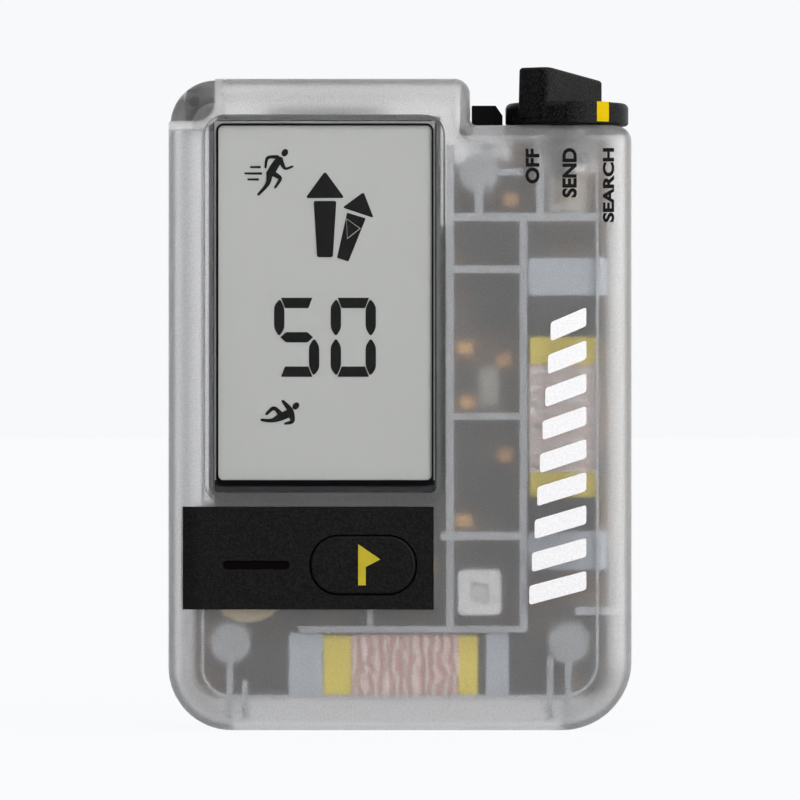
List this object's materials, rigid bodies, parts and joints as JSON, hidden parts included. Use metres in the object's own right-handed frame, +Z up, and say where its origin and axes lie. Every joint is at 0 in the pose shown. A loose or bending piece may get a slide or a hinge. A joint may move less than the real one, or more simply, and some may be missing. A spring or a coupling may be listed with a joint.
{
  "type": "avalanche transceiver",
  "caption": "Pocket avalanche transceiver: frosted clear case with a tall display, black band with a push button, and a three-position lever knob on a stepped top corner.",
  "frame": {"origin": "middle of the bottom of the object's box, standing upright", "axes": "+Z up towards the knob, -Y out of the display face, +X towards the knob's side"},
  "size_m": [0.0734, 0.022, 0.105],
  "materials": {
    "case_frosted": "frosted translucent",
    "frame_milky": "milky translucent",
    "smoked_red": "smoked",
    "lens_clear": "polished",
    "black_plastic": "fine texture",
    "yellow_plastic": "satin",
    "black_rubber": "soft",
    "seal_rubber": "soft",
    "steel": "satin",
    "spring_steel": "bright",
    "display_grey": "satin",
    "clear_plastic": "clear",
    "white_plastic": "satin",
    "status_red": "clear red",
    "buzzer_plate": "satin",
    "board": "solder mask",
    "chip_black": "moulded",
    "crystal_can": "satin",
    "capacitor": "fired",
    "ferrite": "ground",
    "winding": "enamelled wire",
    "tape": "polyester tape",
    "holder_blue": "translucent",
    "battery_wrap": "printed sleeve",
    "knob_cream": "satin",
    "magnet": "plated"
  },
  "bodies": {
    "root": {"inner_frame": "frame_milky", "status_window": "smoked_red", "front_shell": "case_frosted", "back_shell": "case_frosted", "shell_gasket": "seal_rubber", "case_screws": "steel", "lanyard_pin": "steel", "display_lens": "lens_clear", "display_gasket": "black_rubber", "lcd_front_glass": "display_grey", "lcd_rear_glass": "display_grey", "light_guide": "white_plastic", "lcd_holder": "white_plastic", "zebra_strip": "seal_rubber", "band_cover": "black_plastic", "push_switch": "crystal_can", "light_pipe": "clear_plastic", "status_light": "status_red", "buzzer_cup": "chip_black", "buzzer_disc": "buzzer_plate", "main_board": "board", "microcontroller": "chip_black", "radio_amplifier": "chip_black", "motion_sensor": "chip_black", "power_chip": "chip_black", "crystal": "crystal_can", "capacitors": "capacitor", "resistors": "chip_black", "hall_sensors": "chip_black", "upright_core": "ferrite", "upright_winding": "winding", "upright_tape": "tape", "upright_holders": "holder_blue", "level_core": "ferrite", "level_winding": "winding", "level_tape": "tape", "level_holders": "holder_blue", "square_antenna": "white_plastic", "square_antenna_core": "ferrite", "battery_cell": "battery_wrap", "battery_contact": "spring_steel", "battery_spring_plate": "spring_steel", "battery_spring": "spring_steel", "door_gasket": "seal_rubber", "door_hinge_pin": "steel", "knob_o_ring": "black_rubber", "lock_spring": "spring_steel"},
    "knob": {"mode_knob": "black_plastic", "knob_marker": "yellow_plastic", "knob_shaft": "black_plastic", "magnet_cup": "knob_cream", "knob_magnet": "magnet", "knob_clip": "spring_steel"},
    "lock": {"lock_button": "black_plastic"},
    "mark": {"mark_button": "black_plastic", "mark_button_icon": "yellow_plastic", "switch_plunger": "chip_black"},
    "door": {"battery_door": "black_plastic"},
    "coin": {"coin_screw": "steel"}
  },
  "joints": [
    {"name": "mode_turn", "type": "hinge", "parent": "root", "child": "knob", "pos_m": [0.0266, 0, 0.096], "axis": [0, 0, 1], "range_deg": [-70, 0]},
    {"name": "lock_press", "type": "slide", "parent": "root", "child": "lock", "axis": [0, 0, -1], "range_m": [0, 0.0012], "stiffness_N_per_m": 300, "springref_m": -0.0005, "deforming": ["lock_spring"]},
    {"name": "mark_press", "type": "slide", "parent": "root", "child": "mark", "axis": [0, 1, 0], "range_m": [0, 0.0006], "stiffness_N_per_m": 600, "springref_m": -0.0003},
    {"name": "door_open", "type": "hinge", "parent": "root", "child": "door", "pos_m": [-0.012, 0.0093, 0.0346], "axis": [-1, 0, 0], "range_deg": [0, 90]},
    {"name": "coin_screw_turn", "type": "hinge", "parent": "door", "child": "coin", "pos_m": [-0.012, 0.0102, 0.0962], "axis": [0, 1, 0], "range_deg": [0, 540]}
  ]
}
